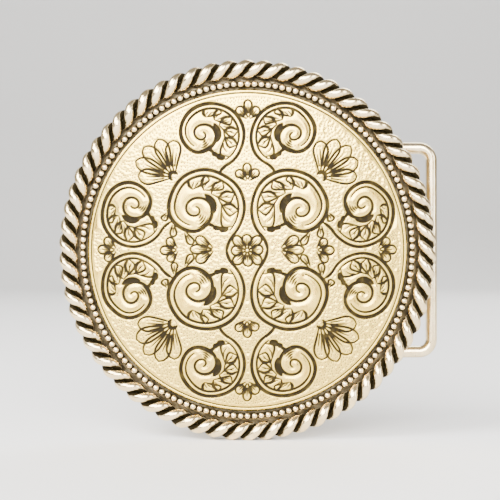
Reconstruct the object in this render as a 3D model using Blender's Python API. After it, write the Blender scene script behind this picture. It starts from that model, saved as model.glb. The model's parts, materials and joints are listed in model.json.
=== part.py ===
"""Round rope-edged western belt buckle, in metres.

The face looks along -Y and +Z is up, as it is worn. The origin is the middle of the backing plate's rear
face, so the decorated side has negative Y and the hardware that holds the belt has positive Y. The backing
plate is curved about a vertical axis, to follow the waist.
"""

import math

import bmesh
import bpy
from mathutils import Matrix, Vector

MM = 0.001
GAP = 0.3 * MM  # the film of solder, or the running clearance, between neighbouring pieces

# Plates
WAIST_RADIUS = 300 * MM
BASE_RADIUS = 38.3 * MM
BASE_THICKNESS = 1.8 * MM
RIM_STEP = 0.8 * MM  # how far the rope's seat is cut down into the front of the base plate
RIM_STEP_RADIUS = 35.1 * MM
FACE_RADIUS = 33.0 * MM
FACE_THICKNESS = 1.0 * MM
FACE_DOME = 0.9 * MM
PLATE_SEGMENTS = 64

# Bead wire and twisted rope edge
BEAD_WIRE_RADIUS = 0.75 * MM
ROPE_RING_RADIUS = 37.05 * MM
STRAND_RADIUS = 0.9 * MM
STRAND_OFFSET = 1.05 * MM  # from the rope's middle to a strand's middle
ROPE_TURNS = 33
POINTS_PER_TURN = 8
STRAND_SIDES = 6

# Hinge and bail
HINGE_X = 22.0 * MM
HINGE_TUBE_RADIUS = 2.2 * MM
HINGE_BORE_RADIUS = 1.6 * MM
HINGE_TUBE_LENGTH = 37.0 * MM
HINGE_TUBE_CHAMFER = 0.25 * MM
HINGE_TUBE_SIDES = 20
BAIL_WIRE_RADIUS = 1.2 * MM
BAIL_REACH = 40.0 * MM  # outer edge of the strap bar, from the middle of the plate
BAIL_HEIGHT = 45.4 * MM
BAIL_HINGE_CORNER = 2.0 * MM
BAIL_STRAP_CORNER = 2.6 * MM
BAIL_SIDES = 8

# Pads and rivets on the rear
PAD_THICKNESS = 0.9 * MM
HINGE_PAD_X = 18.6 * MM
HINGE_PAD_WIDTH = 11.6 * MM
HINGE_PAD_CORNER = 1.6 * MM
HINGE_RIVET_X = -3.0 * MM  # from the middle of the hinge pad
HINGE_RIVET_ROWS = (-15.0 * MM, -5.0 * MM, 5.0 * MM, 15.0 * MM)
HOOK_X = -25.0 * MM
HOOK_PAD_WIDTH = 9.0 * MM
HOOK_PAD_HEIGHT = 17.0 * MM
HOOK_RIVET_ROWS = (-5.6 * MM, 5.6 * MM)
RIVET_SHANK_RADIUS = 0.8 * MM
RIVET_HEAD_RADIUS = 1.6 * MM
RIVET_HEAD_HEIGHT = 0.7 * MM
RIVET_CLOSING_RADIUS = 1.2 * MM
RIVET_CLOSING_DEPTH = 0.5 * MM
RIVET_SEGMENTS = 12
RIVET_DOME_STEPS = 3

# Hook peg, along its own length from the closed-over tenon to the tip
PEG_TENON_RADIUS = 1.2 * MM
PEG_SHOULDER_RADIUS = 2.1 * MM
PEG_SHOULDER_HEIGHT = 0.5 * MM
PEG_NECK_RADIUS = 1.6 * MM
PEG_NECK_START = 0.9 * MM  # above the pad, where the shoulder's taper ends
PEG_KNOB_RADIUS = 1.95 * MM
PEG_KNOB_ROUND = 0.8  # how much of a half circle the knob's outline follows before its flat tip
PEG_RISE = 1.9 * MM  # straight stretch above the pad
PEG_BEND_RADIUS = 6.0 * MM
PEG_LEAN = math.radians(35)
PEG_SIDES = 12
PEG_STEPS = 5

CORNER_STEPS = 5
SMOOTH_ANGLE = math.radians(35)


def clear_scene():
    for obj in list(bpy.data.objects):
        bpy.data.objects.remove(obj)


def metal(name, colour, roughness):
    made = bpy.data.materials.new(name)
    made.use_nodes = True
    shader = made.node_tree.nodes["Principled BSDF"]
    shader.inputs["Base Color"].default_value = (*colour, 1)
    shader.inputs["Metallic"].default_value = 1
    shader.inputs["Roughness"].default_value = roughness
    return made


def setback(x):
    """How far the waist curve sets the plate back at this distance from its middle."""
    return x * x / (2 * WAIST_RADIUS)


def bend_to_waist(bm):
    for vert in bm.verts:
        vert.co.y += setback(vert.co.x)


def add_object(name, bm, material, parent=None):
    bmesh.ops.recalc_face_normals(bm, faces=bm.faces)
    mesh = bpy.data.meshes.new(name)
    bm.to_mesh(mesh)
    bm.free()
    mesh.materials.append(material)
    mesh.shade_smooth()
    mesh.set_sharp_from_angle(angle=SMOOTH_ANGLE)
    obj = bpy.data.objects.new(name, mesh)
    obj.parent = parent
    bpy.context.collection.objects.link(obj)
    return obj


def add_station(name, x):
    """An empty on the plate's curved rear face, with its own Y axis square to that face."""
    station = bpy.data.objects.new(name, None)
    station.location = (x, setback(x), 0)
    station.rotation_euler.z = math.atan2(x, WAIST_RADIUS)
    bpy.context.collection.objects.link(station)
    return station


def turn_about_y(outline, segments):
    """A solid of revolution about Y. The outline is (radius, y) points; it closes on itself or on the axis."""
    bm = bmesh.new()
    verts = [bm.verts.new((radius, y, 0)) for radius, y in outline]
    pairs = list(zip(verts, verts[1:]))
    if outline[0][0] > 0:
        pairs.append((verts[-1], verts[0]))
    edges = [bm.edges.new(pair) for pair in pairs]
    bmesh.ops.spin(
        bm, geom=verts + edges, cent=(0, 0, 0), axis=(0, 1, 0), angle=2 * math.pi, steps=segments
    )
    bmesh.ops.remove_doubles(bm, verts=bm.verts, dist=1e-6)
    return bm


def sweep(rings, closed):
    """Joins rings of points, each with the same count, into one closed body."""
    bm = bmesh.new()
    loops = [[bm.verts.new(point) for point in ring] for ring in rings]
    followers = loops[1:] + loops[:1] if closed else loops[1:]
    for loop, follower in zip(loops, followers):
        for side, vert in enumerate(loop):
            bm.faces.new((loop[side - 1], vert, follower[side], follower[side - 1]))
    if not closed:
        bm.faces.new(loops[0])
        bm.faces.new(list(reversed(loops[-1])))
    return bm


def ring_of_points(centre, across, along, radius, sides):
    """Points on a circle, with one of the flats between them square to the across direction."""
    angles = [2 * math.pi * (side + 0.5) / sides for side in range(sides)]
    return [centre + radius * (math.cos(a) * across + math.sin(a) * along) for a in angles]


def flats_radius(reach, sides):
    """The circle for a bar whose flats, and not its corners, lie this far from its middle."""
    return reach / math.cos(math.pi / sides)


def round_rectangle(width, height, corner):
    """Corner-rounded outline in the XZ plane, centred on the origin."""
    points = []
    centres = ((1, 1), (-1, 1), (-1, -1), (1, -1))
    for quarter, (sign_x, sign_z) in enumerate(centres):
        middle = Vector((sign_x * (width / 2 - corner), 0, sign_z * (height / 2 - corner)))
        for step in range(CORNER_STEPS + 1):
            angle = (quarter + step / CORNER_STEPS) * math.pi / 2
            points.append(middle + corner * Vector((math.cos(angle), 0, math.sin(angle))))
    return points


def extrude_along_y(outline, start, depth):
    bm = bmesh.new()
    face = bm.faces.new([bm.verts.new(point + Vector((0, start, 0))) for point in outline])
    grown = bmesh.ops.extrude_face_region(bm, geom=[face])
    moved = [item for item in grown["geom"] if isinstance(item, bmesh.types.BMVert)]
    bmesh.ops.translate(bm, verts=moved, vec=(0, depth, 0))
    return bm


def cut(body, cutter):
    """Takes the cutter's shape out of the body; the cutter stays as a hidden helper."""
    cutter.hide_render = True
    cutter.display_type = "WIRE"
    boolean = body.modifiers.new("cut " + cutter.name, "BOOLEAN")
    boolean.operation = "DIFFERENCE"
    boolean.solver = "EXACT"
    boolean.object = cutter


def make_base_plate(material):
    front = -BASE_THICKNESS
    seat = front + RIM_STEP
    thirds = [BASE_RADIUS * share for share in (1 / 3, 2 / 3)]
    outline = [(0, front)]
    outline += [(radius, front) for radius in thirds]
    outline += [(RIM_STEP_RADIUS, front), (RIM_STEP_RADIUS, seat), (BASE_RADIUS, seat), (BASE_RADIUS, 0)]
    outline += [(radius, 0) for radius in reversed(thirds)]
    outline += [(0, 0)]
    bm = turn_about_y(outline, PLATE_SEGMENTS)
    bend_to_waist(bm)
    return add_object("base_plate", bm, material)


def make_face_plate(material):
    """A thin sheet pressed into a shallow dome, with its rim resting on the base plate."""
    rear = -BASE_THICKNESS - GAP
    rises = [share / 4 for share in range(5)]
    domed = [(FACE_RADIUS * share, -FACE_DOME * (1 - share**2)) for share in rises]
    outline = [(radius, rear - FACE_THICKNESS + lift) for radius, lift in domed]
    outline += [(radius, rear + lift) for radius, lift in reversed(domed)]
    bm = turn_about_y(outline, PLATE_SEGMENTS)
    bend_to_waist(bm)
    return add_object("face_plate", bm, material)


def make_bead_wire(material):
    middle = FACE_RADIUS + GAP + BEAD_WIRE_RADIUS
    depth = -BASE_THICKNESS - GAP - BEAD_WIRE_RADIUS
    sides = 6
    angles = [math.pi * (2 * side + 1) / sides for side in range(sides)]
    outline = [
        (middle + BEAD_WIRE_RADIUS * math.cos(a), depth + BEAD_WIRE_RADIUS * math.sin(a)) for a in angles
    ]
    bm = turn_about_y(outline, PLATE_SEGMENTS)
    bend_to_waist(bm)
    return add_object("bead_wire", bm, material)


def strand_middle(turn, phase):
    """A point on a strand's middle line: it winds about a ring that lies on the base plate's rim."""
    around = 2 * math.pi * turn / ROPE_TURNS
    wind = 2 * math.pi * turn + phase
    outward = Vector((math.sin(around), 0, math.cos(around)))
    rope_middle = -BASE_THICKNESS + RIM_STEP - GAP - STRAND_RADIUS - STRAND_OFFSET
    radius = ROPE_RING_RADIUS + STRAND_OFFSET * math.cos(wind)
    point = radius * outward
    point.y = rope_middle + STRAND_OFFSET * math.sin(wind)
    return point


def make_rope_strand(name, phase, material):
    count = ROPE_TURNS * POINTS_PER_TURN
    nudge = 0.01
    rearward = Vector((0, 1, 0))
    rings = []
    for index in range(count):
        turn = index / POINTS_PER_TURN
        tangent = strand_middle(turn + nudge, phase) - strand_middle(turn - nudge, phase)
        tangent.normalize()
        across = rearward.cross(tangent).normalized()
        along = tangent.cross(across)
        rings.append(ring_of_points(strand_middle(turn, phase), across, along, STRAND_RADIUS, STRAND_SIDES))
    bm = sweep(rings, closed=True)
    bend_to_waist(bm)
    return add_object(name, bm, material)


def rivet_outline(extra):
    """A rivet's outline, or with some extra all round, that of the hole it needs in the plates."""
    head_base = PAD_THICKNESS + 2 * GAP
    front = GAP / 2 - BASE_THICKNESS
    closing = front + RIVET_CLOSING_DEPTH + extra
    shank = RIVET_SHANK_RADIUS + extra
    outline = [(0, front - extra), (RIVET_CLOSING_RADIUS + extra, front - extra)]
    outline += [(RIVET_CLOSING_RADIUS + extra, closing), (shank, closing), (shank, head_base)]
    for step in range(RIVET_DOME_STEPS):
        angle = step * math.pi / 2 / RIVET_DOME_STEPS
        height = head_base + RIVET_HEAD_HEIGHT * math.sin(angle)
        outline.append((RIVET_HEAD_RADIUS * math.cos(angle), height))
    return outline + [(0, head_base + RIVET_HEAD_HEIGHT)]


def make_rivet(name, station, x, z, plates, material):
    rivet = add_object(name, turn_about_y(rivet_outline(0), RIVET_SEGMENTS), material, station)
    rivet.location = (x, 0, z)
    hole = add_object(name + "_hole", turn_about_y(rivet_outline(GAP), RIVET_SEGMENTS), material, station)
    hole.location = (x, 0, z)
    for plate in plates:
        cut(plate, hole)


def make_hinge_pad(station, material):
    outline = round_rectangle(HINGE_PAD_WIDTH, HINGE_TUBE_LENGTH, HINGE_PAD_CORNER)
    return add_object("hinge_pad", extrude_along_y(outline, GAP, PAD_THICKNESS), material, station)


def hinge_axis():
    """Where the bail's hinge line crosses the plate's horizontal middle plane."""
    height = 2 * GAP + PAD_THICKNESS + HINGE_TUBE_RADIUS
    return Vector((HINGE_X, setback(HINGE_X) + height, 0))


def make_hinge_tube(material):
    half = HINGE_TUBE_LENGTH / 2
    mouth_radius = HINGE_TUBE_RADIUS - HINGE_TUBE_CHAMFER
    outline = (
        (mouth_radius, -half),
        (HINGE_TUBE_RADIUS, HINGE_TUBE_CHAMFER - half),
        (HINGE_TUBE_RADIUS, half - HINGE_TUBE_CHAMFER),
        (mouth_radius, half),
        (HINGE_BORE_RADIUS, half),
        (HINGE_BORE_RADIUS, -half),
    )
    bm = turn_about_y(outline, HINGE_TUBE_SIDES)
    bmesh.ops.rotate(bm, verts=bm.verts, cent=(0, 0, 0), matrix=Matrix.Rotation(math.pi / 2, 3, "X"))
    tube = add_object("hinge_tube", bm, material)
    tube.location = hinge_axis()
    return tube


def bail_corner(middle, radius, start):
    """A quarter circle of (point, outward direction) pairs in the XZ plane."""
    found = []
    for step in range(CORNER_STEPS + 1):
        angle = start + step / CORNER_STEPS * math.pi / 2
        outward = Vector((math.cos(angle), 0, math.sin(angle)))
        found.append((middle + radius * outward, outward))
    return found


def make_bail(material):
    """One loop of wire: its inner bar turns in the hinge tube, and the strap folds round its outer bar."""
    inner, outer = BAIL_HINGE_CORNER, BAIL_STRAP_CORNER
    length = BAIL_REACH - BAIL_WIRE_RADIUS - HINGE_X
    half = BAIL_HEIGHT / 2 - BAIL_WIRE_RADIUS
    path = bail_corner(Vector((length - outer, 0, half - outer)), outer, 0)
    path += bail_corner(Vector((inner, 0, half - inner)), inner, math.pi / 2)
    path += bail_corner(Vector((inner, 0, inner - half)), inner, math.pi)
    path += bail_corner(Vector((length - outer, 0, outer - half)), outer, -math.pi / 2)
    rearward = Vector((0, 1, 0))
    reach = flats_radius(BAIL_WIRE_RADIUS, BAIL_SIDES)
    rings = [ring_of_points(point, outward, rearward, reach, BAIL_SIDES) for point, outward in path]
    bail = add_object("bail", sweep(rings, closed=True), material)
    bail.location = hinge_axis()
    return bail


def make_hook_pad(station, material):
    outline = round_rectangle(HOOK_PAD_WIDTH, HOOK_PAD_HEIGHT, HOOK_PAD_WIDTH / 2)
    return add_object("hook_pad", extrude_along_y(outline, GAP, PAD_THICKNESS), material, station)


def peg_stations():
    """(middle, direction, radius) along the peg, in its station's own axes."""
    up = Vector((0, 1, 0))
    front = GAP / 2 - BASE_THICKNESS
    seat = PAD_THICKNESS + 2 * GAP
    found = [(front * up, up, PEG_TENON_RADIUS), (seat * up, up, PEG_TENON_RADIUS)]
    found += [(seat * up, up, PEG_SHOULDER_RADIUS)]
    found += [((seat + PEG_SHOULDER_HEIGHT) * up, up, PEG_SHOULDER_RADIUS)]
    found += [((seat + PEG_NECK_START) * up, up, PEG_NECK_RADIUS)]
    bend_start = seat + PEG_RISE
    for step in range(PEG_STEPS + 1):
        angle = PEG_LEAN * step / PEG_STEPS
        middle = Vector((PEG_BEND_RADIUS * (1 - math.cos(angle)), PEG_BEND_RADIUS * math.sin(angle), 0))
        direction = Vector((math.sin(angle), math.cos(angle), 0))
        found.append((middle + bend_start * up, direction, PEG_NECK_RADIUS))
    last, direction, _ = found[-1]
    start = -math.acos(PEG_NECK_RADIUS / PEG_KNOB_RADIUS)
    end = PEG_KNOB_ROUND * math.pi / 2
    for step in range(1, PEG_STEPS + 1):
        angle = start + (end - start) * step / PEG_STEPS
        along = PEG_KNOB_RADIUS * (math.sin(angle) - math.sin(start))
        found.append((last + along * direction, direction, PEG_KNOB_RADIUS * math.cos(angle)))
    return found


def make_hook_peg(station, plates, material):
    sideways = Vector((0, 0, 1))
    rings = []
    for middle, direction, radius in peg_stations():
        across = direction.cross(sideways)
        rings.append(ring_of_points(middle, across, sideways, radius, PEG_SIDES))
    add_object("hook_peg", sweep(rings, closed=False), material, station)
    reach = PEG_TENON_RADIUS + GAP
    depth = 2 * (BASE_THICKNESS + PAD_THICKNESS)
    outline = ((0, -depth), (reach, -depth), (reach, depth), (0, depth))
    hole = add_object("hook_peg_hole", turn_about_y(outline, PEG_SIDES), material, station)
    for plate in plates:
        cut(plate, hole)


def main():
    clear_scene()
    gilt = metal("antique_gold", (0.78, 0.66, 0.42), 0.3)
    bright = metal("bright_rope_gold", (0.86, 0.77, 0.55), 0.22)
    backing = metal("backing_brass", (0.62, 0.5, 0.29), 0.4)
    wire = metal("bail_wire_metal", (0.74, 0.66, 0.48), 0.28)

    base = make_base_plate(backing)
    make_face_plate(gilt)
    make_bead_wire(gilt)
    make_rope_strand("rope_strand_a", 0, bright)
    make_rope_strand("rope_strand_b", math.pi, bright)

    hinge_station = add_station("hinge_station", HINGE_PAD_X)
    hinge_pad = make_hinge_pad(hinge_station, backing)
    for number, z in enumerate(HINGE_RIVET_ROWS, 1):
        make_rivet(f"hinge_rivet_{number}", hinge_station, HINGE_RIVET_X, z, (base, hinge_pad), backing)
    make_hinge_tube(backing)
    make_bail(wire)

    hook_station = add_station("hook_station", HOOK_X)
    hook_pad = make_hook_pad(hook_station, backing)
    for number, z in enumerate(HOOK_RIVET_ROWS, 1):
        make_rivet(f"hook_rivet_{number}", hook_station, 0, z, (base, hook_pad), backing)
    make_hook_peg(hook_station, (base, hook_pad), wire)


main()
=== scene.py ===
"""Looks for the round western belt buckle: engraved face, beaded wire, twisted rope edge and rear hardware.

Sizes are in metres, in the CAD frame: the face looks along -Y, +Z is up and the bail is at +X. Places come
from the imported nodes; the engraving is worked out in millimetres from the middle of the face.
"""

import json
import math

import bpy
import numpy as np
from mathutils import Matrix, Vector, noise


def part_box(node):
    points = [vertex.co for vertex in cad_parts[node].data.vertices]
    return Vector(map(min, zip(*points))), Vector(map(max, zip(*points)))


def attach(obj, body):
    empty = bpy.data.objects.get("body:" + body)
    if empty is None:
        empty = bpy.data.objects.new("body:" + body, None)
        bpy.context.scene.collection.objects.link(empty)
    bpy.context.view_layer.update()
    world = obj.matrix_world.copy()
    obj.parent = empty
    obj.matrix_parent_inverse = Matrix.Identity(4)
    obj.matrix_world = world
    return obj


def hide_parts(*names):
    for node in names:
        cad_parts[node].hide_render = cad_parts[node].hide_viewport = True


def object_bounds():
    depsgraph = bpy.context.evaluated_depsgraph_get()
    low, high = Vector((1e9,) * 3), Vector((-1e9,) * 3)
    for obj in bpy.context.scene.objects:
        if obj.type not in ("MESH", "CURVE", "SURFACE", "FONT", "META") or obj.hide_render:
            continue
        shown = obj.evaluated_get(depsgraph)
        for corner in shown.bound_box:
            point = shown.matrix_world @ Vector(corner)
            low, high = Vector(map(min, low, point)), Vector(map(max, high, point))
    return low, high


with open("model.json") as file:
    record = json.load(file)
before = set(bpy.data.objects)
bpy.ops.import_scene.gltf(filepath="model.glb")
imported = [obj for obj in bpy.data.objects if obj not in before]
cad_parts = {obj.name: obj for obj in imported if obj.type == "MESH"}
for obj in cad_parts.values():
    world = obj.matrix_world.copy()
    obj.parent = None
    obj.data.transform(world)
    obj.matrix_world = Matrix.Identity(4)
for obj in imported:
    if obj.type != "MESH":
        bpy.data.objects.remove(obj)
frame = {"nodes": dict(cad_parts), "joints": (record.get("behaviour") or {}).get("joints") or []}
CAD_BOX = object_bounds()

MM = 0.001
UP = Vector((0, 0, 1))
REARWARD = Vector((0, 1, 0))

# Boxes and places from the frame
BASE_LOW, BASE_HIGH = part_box("base_plate")
FACE_LOW, FACE_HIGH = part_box("face_plate")
BEAD_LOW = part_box("bead_wire")[0]
ROPE_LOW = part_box("rope_strand_a")[0]
TUBE_LOW, TUBE_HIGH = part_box("hinge_tube")
BAIL_LOW, BAIL_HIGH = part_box("bail")
HINGE = Vector(frame["joints"][0]["pos_m"])
BASE_FRONT = BASE_LOW.y
WAIST_RADIUS = BASE_HIGH.x**2 / (2 * BASE_HIGH.y)
TUBE_RADIUS = (TUBE_HIGH.x - TUBE_LOW.x) / 2
TUBE_HALF = (TUBE_HIGH.z - TUBE_LOW.z) / 2

# Sizes that repeat the CAD's, where no box gives them
FILM = 0.3 * MM  # between fixed pieces
FACE_DOME = 0.9 * MM
RIM_STEP = 0.8 * MM
RIM_STEP_RADIUS = 35.1 * MM
PAD_TOP = 1.2 * MM
TUBE_BORE = 1.6 * MM
RIVET_SHANK = 0.8 * MM
BEAD_RADIUS = 0.75 * MM
ROPE_MIDDLE_RADIUS = 37.05 * MM
ROPE_TURNS = 33
BAIL_HINGE_CORNER = 2.0 * MM
BAIL_STRAP_CORNER = 2.6 * MM
PEG_LEAN = math.radians(35)

# Solder fills most of the film, so that the fixed pieces look joined.
FILLED = 0.8 * FILM
SOLDER_LINE = 0.1 * FILM  # what stays open of it behind the face and the bead wire
SEATING = 0.05 * MM  # how far a piece on a pad reaches into it

# Edge wires
BEAD_COUNT = 150
BEAD_SHAPE = (0.93, 0.97)  # a bead's width along the ring and across it, against its height
BEAD_RING_RADIUS = FACE_HIGH.x + FILM + BEAD_RADIUS
BEAD_MIDDLE_Y = BEAD_LOW.y + BEAD_RADIUS
BED_RADIUS = 0.55 * MM
STRAND_RADIUS = 0.965 * MM
STRAND_OFFSET = 0.985 * MM

# Engraving, in millimetres on the face
INNER_SCROLL, OUTER_SCROLL = 7.8, 6.7
INNER_START, OUTER_START = math.radians(222), math.radians(238)
INNER_STEM, OUTER_STEM = math.radians(42), math.radians(34)
CLOCKWISE = -1
LINE_GAP = 0.7
SCROLL_GAP = 0.4
PATTERN_EDGE = 31.4
BORDER_INSET = 0.75
BORDER_HALF_WIDTH = 0.16
# A volute is tangent arcs of shrinking radius: (share of the scroll's radius, degrees turned).
VOLUTE_ARCS = ((1.0, 210), (0.68, 90), (0.50, 110), (0.36, 130), (0.22, 150), (0.12, 150))
RIBBON = 0.15
LEAVES = 6
SMALLEST_LEAF = 0.22
LEAF_SPAN = (0.04, 0.93)  # where the leaves start and end, as shares of the way along the first arc
STIPPLE_TRIES = 6500
STIPPLE_SEED = 7
STIPPLE_RADIUS = 0.12
STIPPLE_GAP = 0.28
SCROLL_CLEARANCE = 0.3
DIAGONAL = math.pi / 4
POINT_STEP = 0.09
# The pattern's field holds distances up to CUT_REACH from the points of a cut, and FAR beyond that.
FIELD_SIZE = 36
PATTERN_CELL = 0.06
CUT_REACH = 1.5
FAR = 9.0
GROOVE_SLOPE = 0.55
GROOVE_HALF_WIDTH = 0.42
CUT_BLUR = 0.10
RELIEF = 0.13
RELIEF_WIDTH = 0.5
HALO_WIDTH = 0.34
FACE_CELLS = 600

# Widths of each kind of cut at its start, middle and end; all are multiplied by CUT_WEIGHT.
CUT_WEIGHT = 1.55
MAIN_LINE = (0.40, 0.56, 0.28)
RIBBON_LINE = (0.20, 0.40, 0.20)
STEM_LINE = (0.10, 0.46, 0.46)
TRAILING_EDGE = (0.14, 0.34, 0.14)
LEADING_EDGE = (0.14, 0.46, 0.14)
LEAF_VEIN = (0.08, 0.20, 0.08)
VOLUTE_LINE = (0.08, 0.26, 0.08)
CRESCENT = (0.20, 1.00, 0.22)
DROPS = ((0.95, 0.855, 0.2), (0.75, 0.675, 0.2), (0.55, 0.495, 0.2))
PETAL_EDGE = (0.14, 0.34, 0.24)
PETAL_LINE = (0.22, 0.20, 0.08)
SHELL_ROOT = (0.3, 0.5, 0.3)

# How far a leaf's tip, back and front stand off the ribbon, in its own size: (inwards, along the scroll)
LEAF_TIP = (0.84, 0.16)
LEAF_BACK = (0.52, 0.02)
LEAF_FRONT = (0.36, 0.26)
# Half of a petal's outline: (share of its length, share of its breadth)
PETAL_SHAPE = ((0, 0.12), (0.35, 0.32), (0.70, 0.50), (0.91, 0.34), (1.0, 0.0))


# ---------------------------------------------------------------- mesh helpers


def setback(x):
    """How far the waist curve sets the plates back at this distance from the middle."""
    return x * x / (2 * WAIST_RADIUS)


def mesh_object(name, points, faces, smooth_angle):
    """An object from an (n, 3) array of points and a list of (m, 3) or (m, 4) arrays of corners.

    Edges sharper than smooth_angle stay sharp; None shades every edge smooth.
    """
    mesh = bpy.data.meshes.new(name)
    corners = np.concatenate([np.asarray(group, np.int32).ravel() for group in faces])
    sizes = np.concatenate([np.full(len(group), np.shape(group)[1], np.int32) for group in faces])
    starts = np.concatenate([[0], np.cumsum(sizes)[:-1]]).astype(np.int32)
    mesh.vertices.add(len(points))
    mesh.vertices.foreach_set("co", np.asarray(points, np.float32).ravel())
    mesh.loops.add(len(corners))
    mesh.loops.foreach_set("vertex_index", corners)
    mesh.polygons.add(len(sizes))
    mesh.polygons.foreach_set("loop_start", starts)
    mesh.update(calc_edges=True)
    mesh.validate()
    mesh.shade_smooth()
    if smooth_angle:
        mesh.set_sharp_from_angle(angle=smooth_angle)
    made = bpy.data.objects.new(name, mesh)
    bpy.context.scene.collection.objects.link(made)
    return made


def skin(rows, closed_rows, cap_ends=False):
    """Points and faces of a tube through rows of points, each row a closed loop of equal count.

    closed_rows joins the last row to the first, and cap_ends closes the two ends.
    """
    rows = np.asarray(rows, float)
    count, width = rows.shape[:2]
    points = rows.reshape(-1, 3)
    here = np.arange(count if closed_rows else count - 1)[:, None]
    column = np.arange(width)[None, :]
    following = (here + 1) % count
    beside = (column + 1) % width
    row, next_row = here * width, following * width
    corners = [row + column, row + beside, next_row + beside, next_row + column]
    quads = np.stack(corners, axis=-1).reshape(-1, 4)
    faces = [quads]
    if cap_ends:
        middle = len(points)
        points = np.vstack([points, rows[0].mean(0), rows[-1].mean(0)])
        column, beside = np.arange(width), (np.arange(width) + 1) % width
        first = np.stack([beside, column, np.full(width, middle)], axis=-1)
        last_row = (count - 1) * width
        last = np.stack([last_row + column, last_row + beside, np.full(width, middle + 1)], axis=-1)
        faces.append(np.vstack([first, last]))
    return points, outward(points, faces)


def outward(points, faces):
    """The same faces, turned round if they enclose a negative volume."""
    volume = 0.0
    for group in faces:
        a = points[group[:, 0]]
        for corner in range(1, group.shape[1] - 1):
            b, c = points[group[:, corner]], points[group[:, corner + 1]]
            volume += np.einsum("ij,ij->", a, np.cross(b, c))
    return faces if volume > 0 else [group[:, ::-1] for group in faces]


def rounded(outline, radii, steps=5):
    """A closed 2-D outline with each corner replaced by an arc of its own radius."""
    found = []
    count = len(outline)
    for index, radius in enumerate(radii):
        corner = Vector(outline[index])
        before = Vector(outline[index - 1]) - corner
        after = Vector(outline[(index + 1) % count]) - corner
        if radius <= 0:
            found.append(tuple(corner))
            continue
        half = before.angle(after) / 2
        reach = radius / math.tan(half)
        middle = corner + (before.normalized() + after.normalized()).normalized() * radius / math.sin(half)
        start = corner + before.normalized() * reach - middle
        turn = start.angle_signed(corner + after.normalized() * reach - middle)
        for step in range(steps + 1):
            found.append(tuple(middle + Matrix.Rotation(-turn * step / steps, 2) @ start))
    return found


def turned_about_y(outline, segments):
    """Rows of points for a closed (radius, y) outline turned about Y."""
    angles = np.linspace(0, 2 * math.pi, segments, endpoint=False)
    shape = np.array(outline)
    x = shape[:, 0][:, None] * np.cos(angles)
    z = shape[:, 0][:, None] * np.sin(angles)
    y = np.broadcast_to(shape[:, 1][:, None], x.shape)
    return np.stack([x, y, z], axis=-1)


def bend(points):
    """The same points, set back by the waist curve."""
    points = np.array(points)
    points[..., 1] += setback(points[..., 0])
    return points


def circle(centre, across, along, radius, sides):
    """Points round a circle in the plane of two unit vectors."""
    angles = np.linspace(0, 2 * math.pi, sides, endpoint=False)
    return np.array([centre + radius * (math.cos(a) * across + math.sin(a) * along) for a in angles])


def quarter_turn(count):
    """Angles spread evenly over a quarter turn."""
    return np.linspace(0, math.pi / 2, count)


def round_the_ring(angle):
    """Outwards from the buckle's middle, at an angle from the top towards +X."""
    return Vector((math.sin(angle), 0, math.cos(angle)))


def joined(parts):
    """Points, faces and values of one mesh, from parts that each have their own."""
    points, faces, values = [], [], []
    start = 0
    for part_points, part_faces, part_values in parts:
        points.append(part_points)
        faces += [group + start for group in part_faces]
        values.append(part_values)
        start += len(part_points)
    return np.vstack(points), faces, np.concatenate(values)


def add_attribute(piece, name, values):
    """A value for each point, which a material reads by this name."""
    layer = piece.data.attributes.new(name, "FLOAT", "POINT")
    layer.data.foreach_set("value", np.asarray(values, np.float32))


def dress(piece, body, slot, material, *nodes):
    """Gives a finished piece its body and its material, and hides the nodes it stands for; the slot argument
    is not used.
    """
    piece.data.materials.append(material)
    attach(piece, body)
    if nodes:
        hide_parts(*nodes)
    return piece


# ---------------------------------------------------------------- materials


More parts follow.
